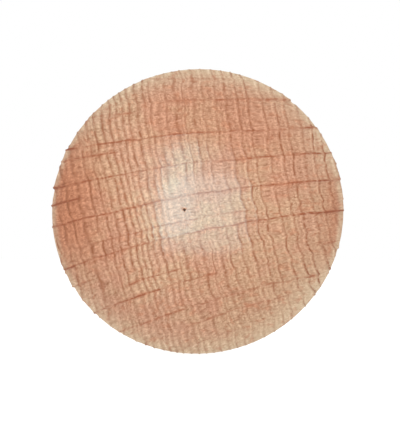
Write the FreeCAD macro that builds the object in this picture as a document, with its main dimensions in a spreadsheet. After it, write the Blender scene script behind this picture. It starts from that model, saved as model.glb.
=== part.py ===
import FreeCAD, Part
import os

# A turned hardwood croquet ball, in millimetres, +Z up, with its origin at the ball's centre.
# The wood's grain, which is also the axis it was turned about, runs along Y, so the poles at -Y
# and +Y are end grain. The wood was turned round and has dried since, so the ball is slightly
# oval: full size along the grain, a little less along the rays, and least across them.
# Local axes of the ball's wood: X along the rays, Y along the grain, Z across the rays. They are
# leaned about Y, so that the rays climb towards +X.

SHEET = "Sizes"

DRIVING_SIZES = [
    # alias, value, what it is
    ("turned_diameter", 92.1, "diameter that the ball was turned to"),
    ("ray_shrinkage", 0.8, "percent lost along the rays in drying"),
    ("cross_shrinkage", 3.4, "percent lost across the rays in drying"),
    ("ray_lean", 12.8, "degrees that the rays climb towards +X"),
    ("coat_thickness", 0.12, "clear lacquer film"),
    ("hole_diameter", 1.1, "hole left by the lathe's point at each pole"),
    ("hole_depth", 2.5, "straight part of that hole"),
    ("hole_tip", 0.95, "cone at the bottom of that hole"),
    ("hole_run_out", 1.0, "how far the hole's tool stands past the ball"),
]


def add_sheet(doc):
    sheet = doc.addObject("Spreadsheet::Sheet", SHEET)
    for row, (alias, value, meaning) in enumerate(DRIVING_SIZES, start=1):
        sheet.set(f"A{row}", alias)
        sheet.set(f"B{row}", str(value))
        sheet.set(f"C{row}", meaning)
        sheet.setAlias(f"B{row}", alias)
    doc.recompute()
    return sheet


def size(alias):
    return f"<<{SHEET}>>.{alias}"


def bind(item, **expressions):
    for name, expression in expressions.items():
        item.setExpression(name, expression)


def add_oval(doc, label, skin="0"):
    """The ball's own oval, grown all round by the skin's expression."""
    oval = doc.addObject("Part::Ellipsoid", label)
    oval.Angle1 = -90
    oval.Angle2 = 90
    oval.Angle3 = 360
    half = f"{size('turned_diameter')} / 2"
    bind(
        oval,
        Radius1=f"{half} * (1 - {size('cross_shrinkage')} / 100) + {skin}",
        Radius2=f"{half} * (1 - {size('ray_shrinkage')} / 100) + {skin}",
        Radius3=f"{half} + {skin}",
    )
    oval.Placement.Rotation = FreeCAD.Rotation(FreeCAD.Vector(0, 1, 0), 1)
    oval.setExpression("Placement.Rotation.Angle", f"-{size('ray_lean')} * 1 deg")
    return oval


def add_centre_hole(doc, label, side):
    """The solid that a centre hole takes out of the pole on one side: -1 is -Y, +1 is +Y.

    It is built along its own Z, with the tip at the inner end, and then turned to point out of
    the pole.
    """
    shank = doc.addObject("Part::Cylinder", f"{label}_shank")
    bind(
        shank,
        Radius=f"{size('hole_diameter')} / 2",
        Height=f"{size('hole_depth')} + {size('hole_run_out')}",
    )
    tip = doc.addObject("Part::Cone", f"{label}_tip")
    tip.Radius1 = 0
    bind(
        tip,
        Radius2=f"{size('hole_diameter')} / 2",
        Height=size("hole_tip"),
    )
    tip.setExpression("Placement.Base.z", f"-{size('hole_tip')}")
    hole = doc.addObject("Part::Fuse", label)
    hole.Base = shank
    hole.Tool = tip
    outward = FreeCAD.Vector(0, side, 0)
    hole.Placement.Rotation = FreeCAD.Rotation(FreeCAD.Vector(0, 0, 1), outward)
    reach = f"({size('turned_diameter')} / 2 - {size('hole_depth')})"
    hole.setExpression("Placement.Base.y", f"{side} * {reach}")
    return hole


def add_turned_ball(doc, holes):
    both = doc.addObject("Part::MultiFuse", "centre_holes")
    both.Shapes = holes
    ball = doc.addObject("Part::Cut", "turned_ball")
    ball.Base = add_oval(doc, "ball_blank")
    ball.Tool = both
    return ball


def add_centre_plug(doc, label, hole):
    """The stopping that fills a centre hole and ends flush with the wood."""
    plug = doc.addObject("Part::Common", label)
    plug.Base = add_oval(doc, f"{label}_trim")
    plug.Tool = hole
    return plug


def add_lacquer_coat(doc):
    coat = doc.addObject("Part::Cut", "clear_lacquer_coat")
    coat.Base = add_oval(doc, "coat_outside", size("coat_thickness"))
    coat.Tool = add_oval(doc, "coat_inside")
    return coat


def check(doc, pieces):
    for item in doc.Objects:
        bad = {"Invalid", "Error"} & set(item.State)
        if bad:
            raise RuntimeError(f"{item.Label} is {sorted(bad)}")
    for piece in pieces:
        shape = piece.Shape
        if shape.isNull() or not shape.isValid() or len(shape.Solids) != 1:
            raise RuntimeError(f"{piece.Label} is not one valid solid")


def export(pieces):
    os.makedirs("parts", exist_ok=True)
    for piece in pieces:
        piece.Shape.exportStep(f"parts/{piece.Label}.step")
        box = piece.Shape.optimalBoundingBox(False, False)
        print(
            f"{piece.Label}: {piece.Shape.Volume:.1f} mm3, "
            f"{box.XLength:.2f} x {box.YLength:.2f} x {box.ZLength:.2f} mm"
        )


def main():
    doc = FreeCAD.newDocument("croquet_ball")
    add_sheet(doc)
    front_hole = add_centre_hole(doc, "front_centre_hole", -1)
    back_hole = add_centre_hole(doc, "back_centre_hole", 1)
    pieces = [
        add_turned_ball(doc, [front_hole, back_hole]),
        add_centre_plug(doc, "front_centre_plug", front_hole),
        add_centre_plug(doc, "back_centre_plug", back_hole),
        add_lacquer_coat(doc),
    ]
    doc.recompute()
    check(doc, pieces)
    export(pieces)


main()
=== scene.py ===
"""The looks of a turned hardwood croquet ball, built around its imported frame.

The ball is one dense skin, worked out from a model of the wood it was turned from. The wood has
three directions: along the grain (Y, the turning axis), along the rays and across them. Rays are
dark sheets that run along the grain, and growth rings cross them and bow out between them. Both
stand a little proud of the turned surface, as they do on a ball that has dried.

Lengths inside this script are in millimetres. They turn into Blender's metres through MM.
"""

import itertools
import math

import bpy
import numpy as np
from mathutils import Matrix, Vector


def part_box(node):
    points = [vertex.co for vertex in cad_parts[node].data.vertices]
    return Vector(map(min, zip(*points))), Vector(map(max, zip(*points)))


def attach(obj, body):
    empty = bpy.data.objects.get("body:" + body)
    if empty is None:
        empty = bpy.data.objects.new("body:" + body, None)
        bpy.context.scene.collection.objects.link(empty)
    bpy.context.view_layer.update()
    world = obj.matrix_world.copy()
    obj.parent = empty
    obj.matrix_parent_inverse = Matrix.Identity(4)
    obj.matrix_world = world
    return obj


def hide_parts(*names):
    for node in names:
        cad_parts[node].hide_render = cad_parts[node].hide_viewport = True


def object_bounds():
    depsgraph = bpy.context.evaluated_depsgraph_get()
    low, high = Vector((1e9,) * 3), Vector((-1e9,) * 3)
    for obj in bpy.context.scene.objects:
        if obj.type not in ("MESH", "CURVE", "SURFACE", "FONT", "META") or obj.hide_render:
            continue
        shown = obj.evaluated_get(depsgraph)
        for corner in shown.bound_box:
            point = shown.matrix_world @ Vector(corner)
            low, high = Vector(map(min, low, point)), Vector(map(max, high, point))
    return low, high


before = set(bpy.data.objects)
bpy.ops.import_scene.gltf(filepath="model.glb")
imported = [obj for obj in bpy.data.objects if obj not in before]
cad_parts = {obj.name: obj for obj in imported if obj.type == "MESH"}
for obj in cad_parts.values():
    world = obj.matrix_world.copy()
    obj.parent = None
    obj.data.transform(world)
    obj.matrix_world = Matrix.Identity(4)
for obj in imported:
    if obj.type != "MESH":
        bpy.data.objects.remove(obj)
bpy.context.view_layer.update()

MM = 0.001

# The wood. Its rays climb towards +X, fanned and slightly bowed, and the rings cross them.
RAY_LEAN = math.radians(12.8)  # the oval's long axis, as in the CAD model
GRAIN_LEAN = (0.0875, -0.0105)  # how far the grain drifts off the turning axis, in X and in Z
GRAIN_SPREAD = 0.001  # how much wider the lines lie with each millimetre towards -Y
RAY_SLOPE = 0.185  # how steeply a ray climbs at the ball's middle
RAY_FAN = 0.0044  # how much less it climbs with each millimetre of height
RAY_BOW = 0.0018  # how much less it climbs with each millimetre towards +X

# The rays, from the lowest: height where they pass the middle, ends towards -X and +X, strength.
FAR = 90.0
RAYS = (
    (-52.0, -FAR, FAR, 0.5),
    (-41.0, -FAR, 12.0, 0.6),
    (-34.6, -3.0, 27.0, 0.6),
    (-29.3, -26.0, 36.0, 0.85),
    (-20.9, -34.0, 6.0, 1.05),
    (-18.2, 37.0, FAR, 0.4),
    (-16.6, -23.0, -5.0, 0.9),
    (-11.7, -FAR, -34.0, 0.9),
    (-6.3, -FAR, FAR, 1.25),
    (-2.2, -37.0, 15.0, 0.95),
    (5.3, -FAR, FAR, 1.0),
    (10.9, -FAR, -37.0, 1.2),
    (15.2, -FAR, FAR, 1.0),
    (21.7, -FAR, -24.0, 0.8),
    (24.5, -FAR, FAR, 1.0),
    (32.2, -37.0, -20.0, 0.7),
    (34.8, -9.0, 32.0, 0.75),
    (41.5, -30.0, 12.0, 0.6),
    (52.0, -FAR, FAR, 0.5),
)
RAY_HEIGHTS = np.array([ray[0] for ray in RAYS])
# The rings bow between these rays and meet at them in cusps.
BOW_RAYS = np.array([-62.0, -52.0, -41.0, -34.6, -29.3, -20.9, -13.5, -6.3, -2.2,
                     5.3, 15.2, 24.5, 34.8, 41.5, 52.0, 62.0])

# The rings are wide, then narrow, then wide again: place across them, and distance between them.
RING_PITCHES = (
    (-70.0, 3.4),
    (-29.0, 3.35),
    (-25.0, 2.10),
    (-8.0, 2.25),
    (0.5, 3.2),
    (25.0, 3.6),
    (70.0, 3.4),
)
RING_LEAN = 0.21  # how far a ring leans over towards +X, going down at the ball's middle
RING_CURVE = 0.0025  # how much less it leans with each millimetre of height

# How far the strongest lines stand proud, in the middle of the end grain and on the sides.
RAY_RIDGE = (0.05, 0.30)
RING_RIDGE = (0.04, 0.26)
RAY_RIDGE_WIDTH = 0.30
RING_RIDGE_WIDTH = 0.22
RAY_STEP = (0.02, 0.35)  # how far the wood on one side of a ray can stand above the other side

HOLE_RADIUS = 0.38
HOLE_DEPTH = 0.55

BALL_ROWS = 300  # squares along each side of the six sheets that the ball starts from
BALL_FACES = 198_000  # triangles that are left after thinning

# Colours of the wood, its lines and its stopping.
TAN = (0.410, 0.233, 0.131, 1)
PINK = (0.402, 0.196, 0.113, 1)
RED = (0.390, 0.150, 0.072, 1)
# SIDE is the paler side grain, made paler still as painted sheen: it stands for the lacquer's reflection of the
# bright surroundings at the rim.
SIDE = (0.540, 0.392, 0.248, 1)
RING_INK = (0.245, 0.083, 0.033, 1)
RAY_INK = (0.250, 0.070, 0.027, 1)
DARKEN = (0.595, 0.472, 0.385, 1)
LIGHTEN = (1.40, 1.55, 1.72, 1)
RING_HALF_WIDTH = 0.33
RAY_HALF_WIDTH = 0.29
RUNG_PITCH = 1.15
RUNG_HALF_WIDTH = 0.20


def noise(points, seed):
    """Smooth noise from -1 to 1. It changes over one unit of points, and is random at whole ones."""
    lattice = np.random.default_rng(seed).uniform(-1, 1, (32, 32, 32))
    cell = np.floor(points).astype(int)
    part = points - cell
    part = part * part * (3 - 2 * part)
    total = np.zeros(len(points))
    for corner in itertools.product((0, 1), repeat=3):
        weight = np.prod(np.where(corner, part, 1 - part), axis=1)
        i, j, k = ((cell + corner) % 32).T
        total += weight * lattice[i, j, k]
    return total


def columns(*values):
    return np.stack(np.broadcast_arrays(*values), axis=1).astype(float)


def smooth(low, high, value):
    part = np.clip((value - low) / (high - low), 0, 1)
    return part * part * (3 - 2 * part)


class Wood:
    """What the wood is like at each of some points of the ball, in millimetres."""

    def __init__(self, points):
        x, y, z = points.T
        spread = 1 - GRAIN_SPREAD * y
        x = (x + GRAIN_LEAN[0] * y) * spread
        z = (z + GRAIN_LEAN[1] * y) * spread
        drift = noise(points / (24, 60, 24), 11)
        sway = noise(points / (20, 55, 20), 12)
        x = x + 1.1 * drift + 0.35 * noise(points / (6, 50, 6), 13)
        z = z + 0.3 * sway + 0.28 * noise(points / (3.6, 45, 3.6), 14)
        self.grain = y
        self.ring_cut = smooth(0.0, 0.45, np.hypot(y, z) / 46)
        self.ray_cut = smooth(0.0, 0.45, np.hypot(x, y) / 46)
        self.set_rays(x, y, z)
        self.set_rings(x, y, z)
        self.set_blush(x, z)

    def set_rays(self, x, y, z):
        trend = -RAY_BOW / RAY_FAN
        apex = (RAY_SLOPE - trend) / RAY_FAN
        squeeze = np.exp(RAY_FAN * x)
        self.height = apex + (z - apex - trend * x) * squeeze
        self.ray = np.interp(self.height, RAY_HEIGHTS, np.arange(len(RAYS)))
        nearest = np.clip(np.rint(self.ray).astype(int), 0, len(RAYS) - 1)
        self.ray_off = (self.height - RAY_HEIGHTS[nearest]) / squeeze
        below = np.clip(np.floor(self.ray).astype(int), 0, len(RAYS) - 2)
        self.ray_pitch = np.diff(RAY_HEIGHTS)[below] / squeeze
        start, end, strength = np.array(RAYS)[nearest, 1:].T
        front = smooth(12, -8, y)
        shown = smooth(start - 2, start + 2, x) * smooth(end + 2, end - 2, x)
        patch = noise(columns(nearest, x / 15, y / 13), 21)
        elsewhere = smooth(-0.15, 0.35, patch)
        fade = 0.8 + 0.5 * noise(columns(nearest, x / 7, y / 12), 22)
        ends = 1 + 0.35 * smooth(26, 40, np.abs(x))
        self.ray_ink = strength * fade * ends * (front * shown + (1 - front) * elsewhere)
        self.ray_ink *= 0.3 + 0.7 * smooth(0.1, 0.7, np.hypot(x, y) / 46)

    def set_rings(self, x, y, z):
        across = x + RING_LEAN * z - RING_CURVE * z * z / 2
        bow = np.interp(self.height, BOW_RAYS, np.arange(len(BOW_RAYS)))
        cell = np.floor(bow)
        part = bow - cell
        depth = 0.5 + 0.25 * noise(columns(cell, across / 14, y / 60), 31)
        shift = 0.45 * noise(columns(cell, across / 9, y / 55), 32)
        across = across - depth * ((2 * part - 1) ** 2 - 1 / 3) + shift
        uneven = 0.6 * noise(columns(across / 5.5, y * 0, y * 0), 33)
        across = across + uneven + 0.5 * noise(columns(across / 2.7, y * 0, y * 0), 34)
        across = across + 0.19 * noise(columns(across / 1.6, self.height / 1.2, y / 50), 40)
        self.across = across
        places, pitches = np.array(RING_PITCHES).T
        steps = np.linspace(places[0], places[-1], 2001)
        counts = np.cumsum(1 / np.interp(steps, places, pitches)) * (steps[1] - steps[0])
        self.ring = np.interp(across, steps, counts)
        self.ring_pitch = np.interp(across, places, pitches)
        nearest = np.rint(self.ring)
        self.ring_off = (self.ring - nearest) * self.ring_pitch
        strength = 0.95 + 0.2 * noise(columns(nearest, y * 0, y / 50), 35)
        fade = 0.95 + 0.25 * noise(columns(nearest, cell, y / 18), 36)
        wear = 0.95 + 0.5 * noise(columns(nearest, z / 2.4, y / 40), 37)
        # Painted highlight: the ring lines fade out in the middle of the near end grain, where the lamps'
        # highlight lies, as if washed out by its glare.
        highlight_washout = smooth(16, 8, np.hypot(x + 1, 1.3 * z + 0.5)) * smooth(0, 20, np.abs(y))
        faint = (0.4 * smooth(18, 38, z) + 0.75 * smooth(-14, -36, z)) * (0.5 + 0.5 * smooth(4, 20, np.abs(y)))
        spread_out = 0.1 + 0.9 * self.ring_cut
        self.ring_ink = np.clip(strength * fade * wear, 0.1, 1.4) * spread_out
        self.ring_ink *= (1 - 0.82 * highlight_washout) * (1 - faint)
        self.tone = noise(columns(np.floor(self.ring), cell, y / 30), 38)

    def set_blush(self, x, z, radius=46.0):
        """Redder wood towards +-X at the height of the middle, and yellower above and below."""
        side = (x * x - 0.9 * z * z) / radius**2 + np.where(x < 0, 0.12, -0.11)
        patches = noise(columns(x / 16, self.grain / 60, z / 16), 39)
        facing = np.abs(self.grain) / radius
        self.blush = smooth(0.25, 0.95, side + 0.25 * patches)
        upper = 0.22 * smooth(12, 24, z) * smooth(42, 34, z) * smooth(-30, -8, x)
        # The paler side colour grows towards the rim of the end grain and on the sides, and the redder colour is
        # held back at the rim: partly paler side grain, partly painted sheen at the rim. A pale band that follows
        # the rings left of the middle is added to it.
        inside_rim = smooth(0.14, 0.3, facing - np.where(x < 0, 0.14, 0))
        self.blush = np.maximum(self.blush, upper) * (0.25 + 0.75 * inside_rim)
        self.side = smooth(0.8, 0.12, facing) ** 1.6 * (1 - 0.7 * self.blush)
        self.side = np.maximum(self.side, 0.16 * np.exp(-(((self.across + 18) / 6) ** 2)))

    def relief(self):
        """How far the surface stands above the turned oval."""
        side = smooth(0.75, 0.35, np.abs(self.grain) / 46.0)
        ray_ridge, ring_ridge, ray_step = (
            front + (back - front) * side for front, back in (RAY_RIDGE, RING_RIDGE, RAY_STEP)
        )
        ray = np.exp(-((self.ray_off / RAY_RIDGE_WIDTH) ** 2)) * self.ray_ink
        ring = np.exp(-((self.ring_off / RING_RIDGE_WIDTH) ** 2)) * self.ring_ink
        step = np.sign(self.ray_off) * np.exp(-np.abs(self.ray_off) / 2.5)
        step = step * smooth(0.0, 0.25, np.abs(self.ray_off)) * np.clip(self.ray_ink, 0, 1)
        lift = noise(columns(np.rint(self.ray), self.across / 30, self.grain / 20), 41)
        waves = noise(columns(self.across / 9, self.height / 9, self.grain / 30), 42)
        ring_ridge = ring_ridge * self.ring_cut
        ray_ridge, ray_step = ray_ridge * self.ray_cut, ray_step * self.ray_cut
        return ray_ridge * ray + ring_ridge * ring + ray_step * step * lift + 0.02 * waves


def oval_sizes():
    """The turned ball's half sizes along the rays, along the grain and across the rays."""
    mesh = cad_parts["turned_ball"].data
    points = np.empty(len(mesh.vertices) * 3)
    mesh.vertices.foreach_get("co", points)
    points = points.reshape(-1, 3) / MM
    along = points @ (math.cos(RAY_LEAN), 0, math.sin(RAY_LEAN))
    cross = points @ (-math.sin(RAY_LEAN), 0, math.cos(RAY_LEAN))
    return np.array([abs(along).max(), abs(points[:, 1]).max(), abs(cross).max()])


def on_oval(points, half_sizes):
    """The points of the oval in the same directions from the ball's centre."""
    facing = points / np.linalg.norm(points, axis=1, keepdims=True)
    along = facing @ (math.cos(RAY_LEAN), 0, math.sin(RAY_LEAN))
    cross = facing @ (-math.sin(RAY_LEAN), 0, math.cos(RAY_LEAN))
    a, b, c = half_sizes
    reach = 1 / np.sqrt((along / a) ** 2 + (facing[:, 1] / b) ** 2 + (cross / c) ** 2)
    return facing * reach[:, None]


def cube_sphere(rows, pole_crowding=0.75, pole_spread=0.05):
    """Directions and quads of a sphere made of six square sheets, with rows crowded at +-Y."""
    steps = np.linspace(-1, 1, rows + 1)
    u, v = np.meshgrid(steps, steps, indexing="ij")
    squeeze = 1 - pole_crowding * np.exp(-(u * u + v * v) / pole_spread**2)
    tangents = [np.tan(math.pi / 4 * w) for w in (u, v)]
    crowded = [np.tan(math.pi / 4 * w * squeeze) for w in (u, v)]
    one = np.ones_like(u)
    corners, quads = [], []
    index = np.arange((rows + 1) ** 2).reshape(rows + 1, rows + 1)
    loop = np.stack(
        [index[:-1, :-1], index[1:, :-1], index[1:, 1:], index[:-1, 1:]], axis=-1
    ).reshape(-1, 4)
    for axis, sign in itertools.product(range(3), (1, -1)):
        s, t = crowded if axis == 1 else tangents
        sheet = np.empty((*u.shape, 3))
        sheet[..., axis] = sign * one
        sheet[..., (axis + 1) % 3] = s
        sheet[..., (axis + 2) % 3] = t
        quads.append((loop if sign > 0 else loop[:, ::-1]) + len(corners) * index.size)
        corners.append(sheet.reshape(-1, 3))
    return np.concatenate(corners), np.concatenate(quads)


def welded(corners, quads):
    """The same surface with the corners that two sheets share made one."""
    _, first, same = np.unique(
        np.round(corners, 6), axis=0, return_index=True, return_inverse=True
    )
    return corners[first], same.reshape(-1)[quads]


def hole_sink(points):
    """How far the surface drops into the lathe's centre holes, at the two poles."""
    from_axis = np.hypot(points[:, 0], points[:, 2])
    near_pole = np.abs(points[:, 1]) > abs(points[:, 1]).max() / 2
    rough = 0.04 * noise(points / 0.3, 51)
    return near_pole * HOLE_DEPTH * smooth(HOLE_RADIUS + 0.07, HOLE_RADIUS - 0.05, from_axis + rough)


def mesh_from(name, points, faces):
    mesh = bpy.data.meshes.new(name)
    mesh.vertices.add(len(points))
    mesh.vertices.foreach_set("co", (points * MM).astype(np.float32).ravel())
    sides = faces.shape[1]
    mesh.loops.add(faces.size)
    mesh.loops.foreach_set("vertex_index", faces.astype(np.int32).ravel())
    mesh.polygons.add(len(faces))
    mesh.polygons.foreach_set("loop_start", np.arange(0, faces.size, sides, dtype=np.int32))
    mesh.update(calc_edges=True)
    mesh.validate()
    return mesh


def add_object(name, mesh):
    item = bpy.data.objects.new(name, mesh)
    bpy.context.scene.collection.objects.link(item)
    return item


def thinned(item, faces):
    """item with its mesh cut down to about that many triangles, kept where the relief is."""
    modifier = item.modifiers.new("thin", "DECIMATE")
    modifier.ratio = faces / (2 * len(item.data.polygons))
    modifier.use_collapse_triangulate = True
    view = item.evaluated_get(bpy.context.evaluated_depsgraph_get())
    mesh = bpy.data.meshes.new_from_object(view)
    mesh.name = item.data.name
    item.modifiers.clear()
    item.data = mesh
    return item


def points_of(mesh):
    points = np.empty(len(mesh.vertices) * 3)
    mesh.vertices.foreach_get("co", points)
    return points.reshape(-1, 3) / MM


def paint(mesh, name, values):
    kind = "FLOAT_VECTOR" if values.ndim == 2 else "FLOAT"
    layer = mesh.attributes.new(name, kind, "POINT")
    field = "vector" if values.ndim == 2 else "value"
    layer.data.foreach_set(field, values.astype(np.float32).ravel())


LAYERS = ("ray", "ray_pitch", "ray_ink", "ring", "ring_pitch", "ring_ink", "tone", "blush", "side")


def make_ball():
    half_sizes = oval_sizes()
    corners, quads = welded(*cube_sphere(BALL_ROWS))
    base = on_oval(corners, half_sizes)
    outward = base / np.linalg.norm(base, axis=1, keepdims=True)
    height = Wood(base).relief() - hole_sink(base)
    ball = add_object("wood_ball", mesh_from("wood_ball", base + outward * height[:, None], quads))
    thinned(ball, BALL_FACES)
    ball.data.shade_smooth()
    base = on_oval(points_of(ball.data), half_sizes)
    wood = Wood(base)
    for name in LAYERS:
        paint(ball.data, name, getattr(wood, name))
    paint(ball.data, "grain_place", columns(wood.across, wood.height, wood.grain))
    ball.data.materials.clear()
    ball.data.materials.append(hardwood())
    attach(ball, "root")
    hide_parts("turned_ball", "clear_lacquer_coat")
    return ball


class Graph:
    """A material's nodes, added one call at a time. Inputs are numbers or other nodes' sockets."""

    def __init__(self, name):
        self.material = bpy.data.materials.new(name)
        self.material.use_nodes = True
        self.tree = self.material.node_tree
        self.shader = self.tree.nodes["Principled BSDF"]

    def feed(self, socket, value):
        if isinstance(value, bpy.types.NodeSocket):
            self.tree.links.new(value, socket)
        else:
            socket.default_value = value

    def math(self, operation, *values, clamp=False):
        node = self.tree.nodes.new("ShaderNodeMath")
        node.operation = operation
        node.use_clamp = clamp
        for socket, value in zip(node.inputs, values):
            self.feed(socket, value)
        return node.outputs[0]

    def read(self, name, vector=False):
        node = self.tree.nodes.new("ShaderNodeAttribute")
        node.attribute_name = name
        return node.outputs["Vector" if vector else "Fac"]

    def part(self, vector, index):
        node = self.tree.nodes.new("ShaderNodeSeparateXYZ")
        self.feed(node.inputs[0], vector)
        return node.outputs[index]

    def white_noise(self, value):
        node = self.tree.nodes.new("ShaderNodeTexWhiteNoise")
        node.noise_dimensions = "1D"
        self.feed(node.inputs["W"], value)
        return node.outputs["Value"]

    def own_place(self):
        return self.tree.nodes.new("ShaderNodeTexCoord").outputs["Object"]

    def scaled(self, vector, factors):
        node = self.tree.nodes.new("ShaderNodeVectorMath")
        node.operation = "MULTIPLY"
        self.feed(node.inputs[0], vector)
        self.feed(node.inputs[1], factors)
        return node.outputs[0]

    def noise(self, vector, detail=2.0, roughness=0.55, distortion=0.0):
        node = self.tree.nodes.new("ShaderNodeTexNoise")
        self.feed(node.inputs["Vector"], vector)
        self.feed(node.inputs["Scale"], 1.0)
        self.feed(node.inputs["Detail"], detail)
        self.feed(node.inputs["Roughness"], roughness)
        self.feed(node.inputs["Distortion"], distortion)
        return node.outputs["Fac"]

    def fit(self, value, low, high, to_low=0.0, to_high=1.0):
        """value eased from the first range to the second, and held at its ends."""
        node = self.tree.nodes.new("ShaderNodeMapRange")
        node.interpolation_type = "SMOOTHSTEP"
        for socket, number in zip(node.inputs, (value, low, high, to_low, to_high)):
            self.feed(socket, number)
        return node.outputs["Result"]

    def mix(self, share, first, second, blend="MIX"):
        node = self.tree.nodes.new("ShaderNodeMix")
        node.data_type = "RGBA"
        node.blend_type = blend
        for socket, value in zip((node.inputs[0], node.inputs[6], node.inputs[7]), (share, first, second)):
            self.feed(socket, value)
        return node.outputs[2]

    def bump(self, height, distance, strength=1.0):
        node = self.tree.nodes.new("ShaderNodeBump")
        self.feed(node.inputs["Height"], height)
        self.feed(node.inputs["Distance"], distance)
        self.feed(node.inputs["Strength"], strength)
        return node.outputs["Normal"]


def bell(graph, value, middle, half_width):
    """1 where value is middle, falling to 0 over about the half width."""
    share = graph.math("DIVIDE", graph.math("SUBTRACT", value, middle), half_width)
    square = graph.math("MULTIPLY", share, share)
    return graph.math("POWER", math.e, graph.math("MULTIPLY", square, -1.0))


def line_off(graph, place, pitch):
    """Distance to the nearest line of a family whose lines are at the whole numbers of place."""
    whole = graph.math("ROUND", place)
    part = graph.math("SUBTRACT", place, whole)
    return graph.math("MULTIPLY", part, pitch)


def rungs(graph, place, ring):
    """Fine rays: short dark marks across each ring, set off from those of the next ring."""
    height = graph.part(place, 1)
    start = graph.white_noise(graph.math("FLOOR", ring))
    wobble = graph.noise(graph.scaled(place, (0.45, 0.45, 0.05)), detail=1)
    row = graph.math("DIVIDE", height, RUNG_PITCH)
    row = graph.math("ADD", graph.math("MULTIPLY_ADD", wobble, 1.5, row), start)
    mark = bell(graph, line_off(graph, row, RUNG_PITCH), 0.0, RUNG_HALF_WIDTH)
    shown = graph.noise(graph.scaled(place, (0.55, 0.75, 0.06)), detail=1)
    return graph.math("MULTIPLY", mark, graph.fit(shown, 0.42, 0.62))


def hardwood():
    graph = Graph("hardwood")
    place = graph.read("grain_place", vector=True)
    ring, ring_pitch, ring_ink = (graph.read(name) for name in ("ring", "ring_pitch", "ring_ink"))
    tone = graph.read("tone")

    # The lines of the rings and rays.
    breaks = graph.noise(graph.scaled(place, (0.8, 0.8, 0.05)), detail=2)
    ring_line = bell(graph, line_off(graph, ring, ring_pitch), 0.0, RING_HALF_WIDTH)
    ring_line = graph.math("MULTIPLY", ring_line, ring_ink)
    ring_line = graph.math("MULTIPLY", ring_line, graph.fit(breaks, 0.34, 0.57, 0.2, 1.12))
    ray_off = line_off(graph, graph.read("ray"), graph.read("ray_pitch"))
    ray_line = graph.math("MULTIPLY", bell(graph, ray_off, 0.0, RAY_HALF_WIDTH), graph.read("ray_ink"))
    ray_line = graph.math("MULTIPLY", ray_line, graph.fit(breaks, 0.36, 0.58, 0.28, 1.05))

    # Lighter bands on both sides of a ring line, more of them before the line than after it: partly paler wood
    # and partly painted light, the light that the raised ring catches along its edge.
    after = graph.math("MULTIPLY", graph.math("FRACT", ring), ring_pitch)
    before = graph.math("SUBTRACT", ring_pitch, after)
    bar = graph.math("MULTIPLY_ADD", bell(graph, after, 0.9, 0.35), 0.5, bell(graph, before, 0.9, 0.4))

    # Pores and flecks.
    pores = graph.noise(graph.scaled(place, (1.1, 1.1, 0.05)), detail=1, roughness=0.6)
    grit = graph.noise(graph.scaled(place, (2.4, 2.6, 0.1)), detail=1)
    beads = graph.noise(graph.scaled(place, (1.2, 1.9, 0.08)), detail=1)
    clouds = graph.noise(graph.scaled(place, (0.07, 0.09, 0.03)), detail=3)

    height = graph.part(place, 1)
    redness = graph.math("MULTIPLY_ADD", tone, 0.1, graph.fit(clouds, 0.35, 0.65))
    redness = graph.math("MULTIPLY_ADD", height, 0.008, redness)
    corner = graph.math("MULTIPLY", graph.part(place, 0), height)
    redness = graph.math("MULTIPLY_ADD", corner, 0.0006, redness)
    ground = graph.mix(graph.fit(redness, 0.0, 1.0), TAN, PINK)
    # the paler side colour: side grain, with painted sheen at the rim
    ground = graph.mix(graph.read("side"), ground, SIDE)
    ground = graph.mix(graph.read("blush"), ground, RED)
    stain = graph.noise(graph.scaled(place, (0.38, 0.5, 0.05)), detail=2)
    ground = graph.mix(graph.fit(stain, 0.51, 0.71, 0.0, 0.5), ground, RED)
    smear = graph.fit(graph.noise(graph.scaled(place, (0.11, 0.11, 0.04)), detail=1), 0.45, 0.65)
    smear = graph.math("MULTIPLY", smear, graph.math("MULTIPLY", graph.read("ray_ink"), 0.6))
    ground = graph.mix(graph.math("MULTIPLY", bell(graph, ray_off, 0.0, 0.8), smear), ground, RED)

    bar = graph.math("MULTIPLY", bar, graph.fit(beads, 0.36, 0.62, 0.2, 1.3))
    shade = graph.math("MULTIPLY_ADD", graph.math("SUBTRACT", pores, 0.5), 1.0, 0.0)
    shade = graph.math("MULTIPLY_ADD", graph.math("SUBTRACT", grit, 0.5), 0.38, shade)
    shade = graph.math("MULTIPLY_ADD", graph.fit(grit, 0.56, 0.74), 0.36, shade)
    # the lighter bands beside the ring lines, partly painted light on the ring edges
    shade = graph.math("MULTIPLY_ADD", bar, 0.30, shade)
    shade = graph.math("MULTIPLY_ADD", rungs(graph, place, ring), -0.27, shade)
    shade = graph.math("MULTIPLY_ADD", tone, 0.03, shade)
    contrast = graph.math("MULTIPLY_ADD", graph.read("side"), -0.5, 1.0)
    shade = graph.math("MULTIPLY_ADD", shade, contrast, 0.47)
    ground = graph.mix(1.0, ground, graph.mix(shade, DARKEN, LIGHTEN), "MULTIPLY")

    colour = graph.mix(graph.math("MULTIPLY", ring_line, 0.77, clamp=True), ground, RING_INK)
    colour = graph.mix(graph.math("MULTIPLY", ray_line, 0.95, clamp=True), colour, RAY_INK)

    relief = graph.math("MULTIPLY_ADD", ring_line, -0.5, graph.math("MULTIPLY", pores, 0.5))
    relief = graph.math("MULTIPLY_ADD", ray_line, -0.5, relief)
    relief = graph.math("MULTIPLY_ADD", bar, 0.4, relief)
    shader = graph.shader
    graph.feed(shader.inputs["Base Color"], colour)
    graph.feed(shader.inputs["Roughness"], graph.fit(pores, 0.3, 0.7, 0.45, 0.6))
    graph.feed(shader.inputs["Normal"], graph.bump(relief, 0.05 * MM))
    shader.inputs["Specular IOR Level"].default_value = 0.0
    shader.inputs["Coat Weight"].default_value = 0.12
    shader.inputs["Coat IOR"].default_value = 3.0
    shader.inputs["Coat Roughness"].default_value = 0.22
    return graph.material


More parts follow.
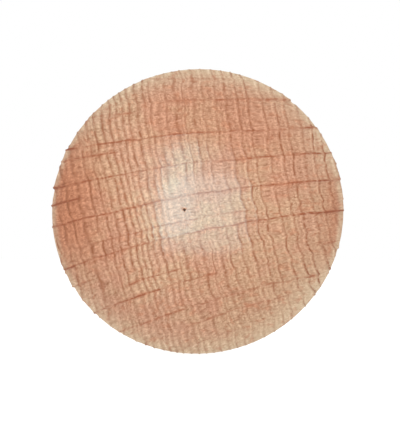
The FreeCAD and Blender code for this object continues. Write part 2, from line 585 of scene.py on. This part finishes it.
def stopping():
    graph = Graph("dark_stopping")
    grain = graph.noise(graph.scaled(graph.own_place(), (9000.0, 9000.0, 9000.0)))
    colour = graph.mix(graph.fit(grain, 0.35, 0.65), (0.045, 0.025, 0.016, 1), (0.10, 0.056, 0.038, 1))
    graph.feed(graph.shader.inputs["Base Color"], colour)
    graph.feed(graph.shader.inputs["Roughness"], graph.fit(grain, 0.3, 0.7, 0.7, 0.9))
    graph.shader.inputs["Specular IOR Level"].default_value = 0.15
    graph.feed(graph.shader.inputs["Normal"], graph.bump(grain, 0.05 * MM))
    return graph.material


def make_plug(node, side):
    """The stopping in a centre hole: a little peg with a sunken, uneven end, like dried filler."""
    low, high = (np.array(corner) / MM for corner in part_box(node))
    radius = HOLE_RADIUS - 0.03
    pole = high[1] if side > 0 else low[1]
    inner = low[1] if side > 0 else high[1]
    length = abs(pole - inner)
    profile = [(0.0, length), (0.35 * radius, length - 0.3), (radius, length - 1.0)]
    profile += [(radius, 0.30), (0.96 * radius, 0.2), (0.82 * radius, 0.14)]
    profile += [(0.6 * radius, 0.17), (0.35 * radius, 0.22), (0.0, 0.24)]
    turns = 28
    points, faces = [], []
    for turn in range(turns):
        angle = 2 * math.pi * turn / turns
        for across, down in profile[1:-1]:
            points.append((across * math.cos(angle), down, across * math.sin(angle)))
    ring = len(profile) - 2
    points += [(0, profile[0][1], 0), (0, profile[-1][1], 0)]
    tip, top = len(points) - 2, len(points) - 1
    for turn in range(turns):
        here, after = turn * ring, (turn + 1) % turns * ring
        faces.append((tip, here, after))
        faces.append((top, after + ring - 1, here + ring - 1))
        for step in range(ring - 1):
            faces.append((here + step, here + step + 1, after + step + 1))
            faces.append((here + step, after + step + 1, after + step))
    points = np.array(points)
    points += 0.03 * columns(*(noise(points / 0.22 + shift, 61) for shift in (0, 7, 13)))
    points[:, 1] = pole - side * points[:, 1]
    faces = np.array(faces)
    plug = add_object(node.replace("centre_plug", "stopping"), mesh_from(node, points, faces[:, ::-1] if side < 0 else faces))
    plug.data.shade_smooth()
    plug.data.materials.append(stopping())
    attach(plug, "root")
    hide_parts(node)
    return plug


# The picture: a level camera a little to the right of the turning axis, so that the near pole and
# its stopping sit left of the middle.
CAMERA_TURN = math.radians(5.0)
CAMERA_RISE = math.radians(-0.6)
CAMERA_DISTANCE = 1.0
BALL_IN_PICTURE = 291.8 / 432  # the ball's long axis, as a share of the picture's height
PICTURE_OFFSET = (2.2 / 432, -4.6 / 432)


LAMP_DISTANCE = 1.3
COOL_LIGHT = (0.32, 0.88, 0.97)


def towards(turn, rise, distance):
    """A point that far from the ball's centre. Turn 0 is towards -Y, and a positive one is to +X."""
    flat = distance * math.cos(rise)
    return Vector((flat * math.sin(turn), -flat * math.cos(turn), distance * math.sin(rise)))


def face_ball(item):
    item.rotation_mode = "QUATERNION"
    item.rotation_quaternion = (-item.location).to_track_quat("-Z", "Y")


def make_camera():
    data = bpy.data.cameras.new("camera")
    camera = bpy.data.objects.new("camera", data)
    bpy.context.scene.collection.objects.link(camera)
    camera.location = towards(CAMERA_TURN, CAMERA_RISE, CAMERA_DISTANCE)
    face_ball(camera)
    radius = oval_sizes()[0] * MM
    seen = radius / math.sqrt(CAMERA_DISTANCE**2 - radius**2)
    data.lens = BALL_IN_PICTURE / 2 * data.sensor_width / seen
    data.shift_x, data.shift_y = PICTURE_OFFSET
    data.clip_end = 100
    bpy.context.scene.camera = camera


def add_softbox(name, turn, rise, width, height, power, highlight):
    """A lamp on the ball's middle. Its light makes either highlights or soft shading, not both."""
    data = bpy.data.lights.new(name, "AREA")
    data.shape = "RECTANGLE"
    data.size, data.size_y = width, height
    data.energy = power
    data.color = COOL_LIGHT if highlight else (1, 1, 1)
    light = bpy.data.objects.new(name, data)
    bpy.context.scene.collection.objects.link(light)
    light.location = towards(math.radians(turn), math.radians(rise), LAMP_DISTANCE)
    face_ball(light)
    light.visible_diffuse = not highlight
    light.visible_glossy = highlight
    data.use_shadow = not highlight  # part of each highlight lamp is below the floor


def make_world():
    world = bpy.data.worlds.new("white_tent")
    world.use_nodes = True
    world.node_tree.nodes["Background"].inputs["Color"].default_value = (1, 1, 1, 1)
    world.node_tree.nodes["Background"].inputs["Strength"].default_value = 1.0
    bpy.context.scene.world = world


def make_floor():
    graph = Graph("white_floor")
    graph.shader.inputs["Base Color"].default_value = (0.3, 0.3, 0.3, 1)
    graph.shader.inputs["Emission Color"].default_value = (1, 1, 1, 1)
    graph.shader.inputs["Emission Strength"].default_value = 0.9
    graph.shader.inputs["Roughness"].default_value = 0.9
    graph.shader.inputs["Specular IOR Level"].default_value = 0.0
    reach = 6.0
    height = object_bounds()[0].z
    mesh = bpy.data.meshes.new("floor")
    corners = [(-reach, -reach, height), (reach, -reach, height), (reach, reach, height), (-reach, reach, height)]
    mesh.from_pydata(corners, [], [(0, 1, 2, 3)])
    floor = add_object("floor", mesh)
    mesh.materials.append(graph.material)
    floor.visible_glossy = False  # the lamps reach below it in the ball's reflections


bpy.context.scene.view_settings.view_transform = "Standard"
make_ball()
make_plug("front_centre_plug", -1)
make_plug("back_centre_plug", 1)
make_floor()
make_world()
make_camera()
add_softbox("tall_softbox", -12, 18, 0.6, 2.03, 17, highlight=True)
add_softbox("wide_softbox", 9.4, -3, 1.8, 1.62, 40, highlight=True)
add_softbox("broad_softbox", -4, 20, 2.0, 2.05, 20.5, highlight=True)
add_softbox("key", 5, 25, 1.2, 1.2, 10, highlight=False)
